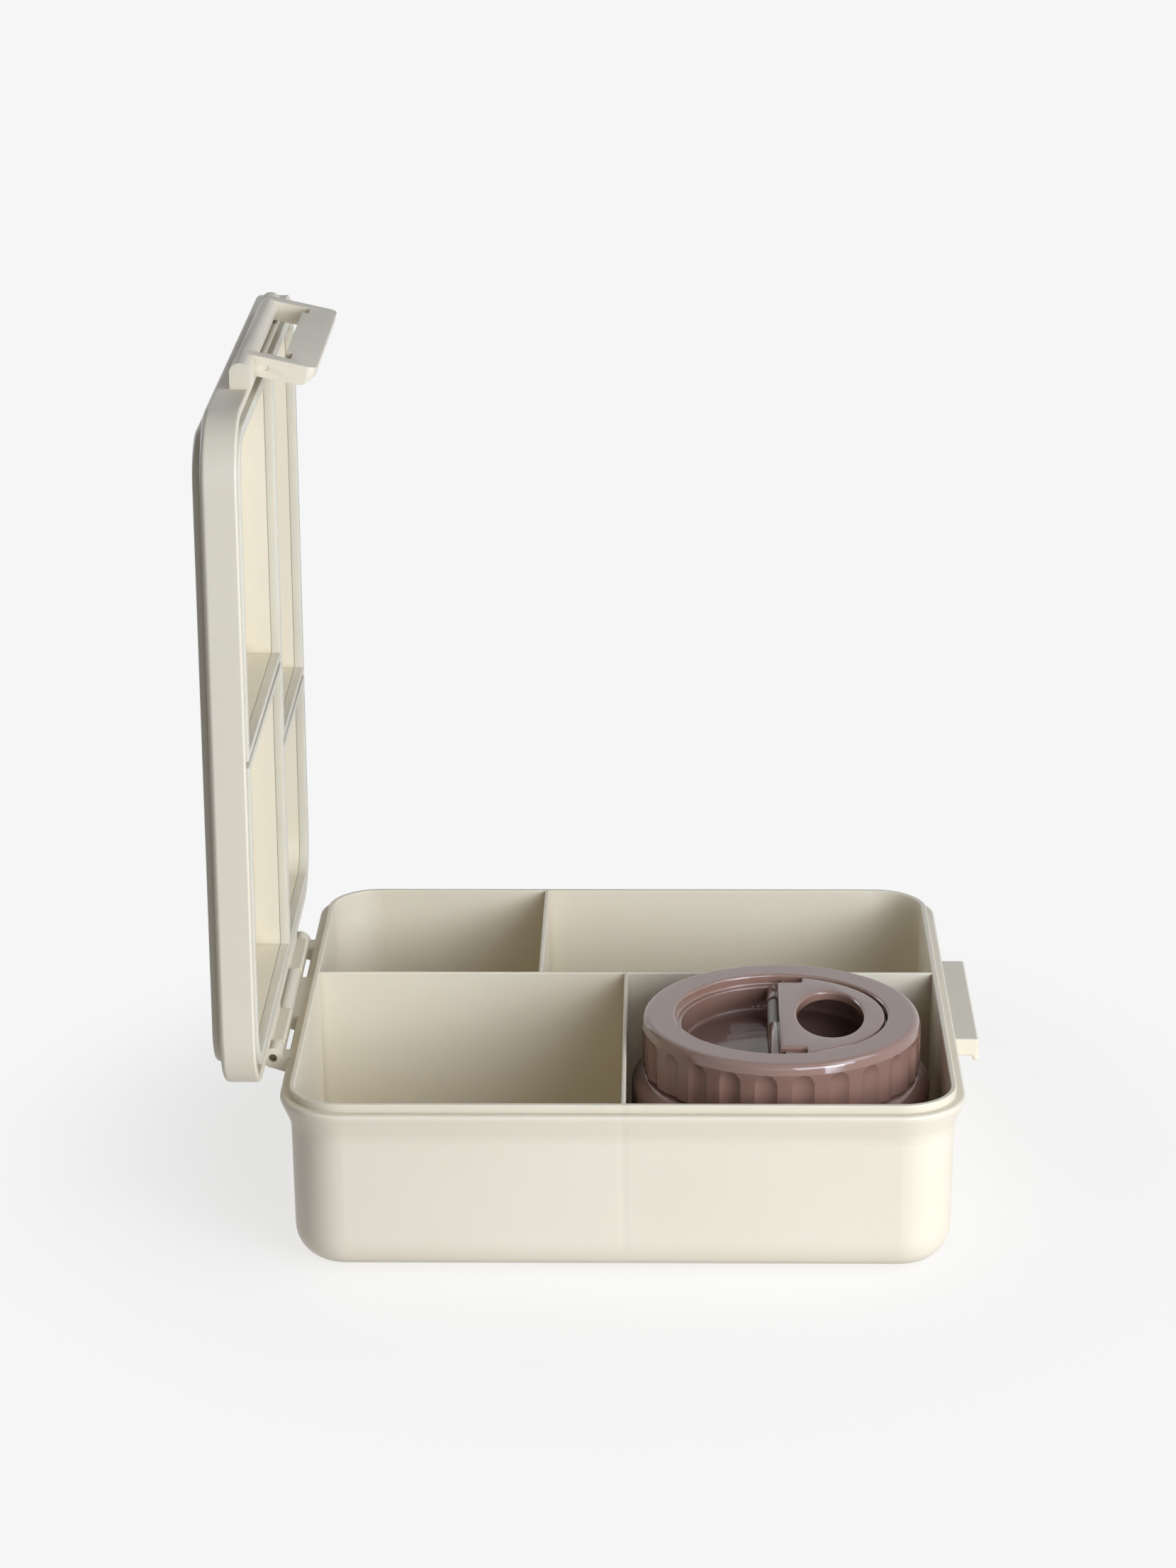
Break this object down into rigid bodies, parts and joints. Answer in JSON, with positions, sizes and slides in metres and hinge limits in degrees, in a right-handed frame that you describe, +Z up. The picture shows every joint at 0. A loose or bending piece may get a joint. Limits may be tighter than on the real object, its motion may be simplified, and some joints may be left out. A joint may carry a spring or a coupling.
{
  "type": "lunch box",
  "caption": "Lunch box with divided compartments, a hinged lid with a silicone seal and a snap latch, and a lift-out food jar with a fluted screw cap and folding handle.",
  "frame": {"origin": "middle of the tub's underside, on the surface it stands on", "axes": "+X from the hinge side to the latch side, +Y from the front to the back, +Z up"},
  "size_m": [0.236, 0.197, 0.2765],
  "materials": {
    "cream_plastic": "satin",
    "mauve_plastic": "gloss",
    "clear_silicone": "satin",
    "vent_silicone": "matte",
    "pin_steel": "brushed",
    "liner_steel": "brushed"
  },
  "bodies": {
    "tub": {"base_tub": "cream_plastic", "hinge_pin": "pin_steel"},
    "lid": {"lid_shell": "cream_plastic", "lid_seal": "clear_silicone", "latch_pin": "pin_steel"},
    "latch": {"latch_flap": "cream_plastic"},
    "jar": {"jar_shell": "mauve_plastic", "jar_liner": "liner_steel"},
    "cap_ring": {"cap_seal_ring": "vent_silicone"},
    "cap": {"cap_shell": "mauve_plastic", "cap_inner_plate": "mauve_plastic", "handle_pins": "pin_steel", "vent_plug": "vent_silicone"},
    "handle": {"cap_handle": "mauve_plastic"}
  },
  "joints": [
    {"name": "lid_hinge", "type": "hinge", "parent": "tub", "child": "lid", "pos_m": [-0.10964, 0, 0.05393], "axis": [0, -1, 0], "range_deg": [-90, 0]},
    {"name": "latch_pivot", "type": "hinge", "parent": "lid", "child": "latch", "pos_m": [-0.11271, 0, 0.27337], "axis": [0, -1, 0], "range_deg": [0, 110]},
    {"name": "jar_lift", "type": "slide", "parent": "tub", "child": "jar", "axis": [0, 0, 1], "range_m": [0, 0.09]},
    {"name": "cap_lift", "type": "slide", "parent": "jar", "child": "cap_ring", "axis": [0, 0, 1], "range_m": [0, 0.0051]},
    {"name": "cap_turn", "type": "hinge", "parent": "cap_ring", "child": "cap", "pos_m": [0.0496, -0.0394, 0.0645], "axis": [0, 0, 1], "range_deg": [0, 450]},
    {"name": "handle_fold", "type": "hinge", "parent": "cap", "child": "handle", "pos_m": [0.0477, -0.0394, 0.0596], "axis": [0, -1, 0], "range_deg": [0, 95]}
  ],
  "couplings": [
    {"joint": "cap_lift", "follows": "cap_turn", "m_per_rad": 0.00063662}
  ]
}
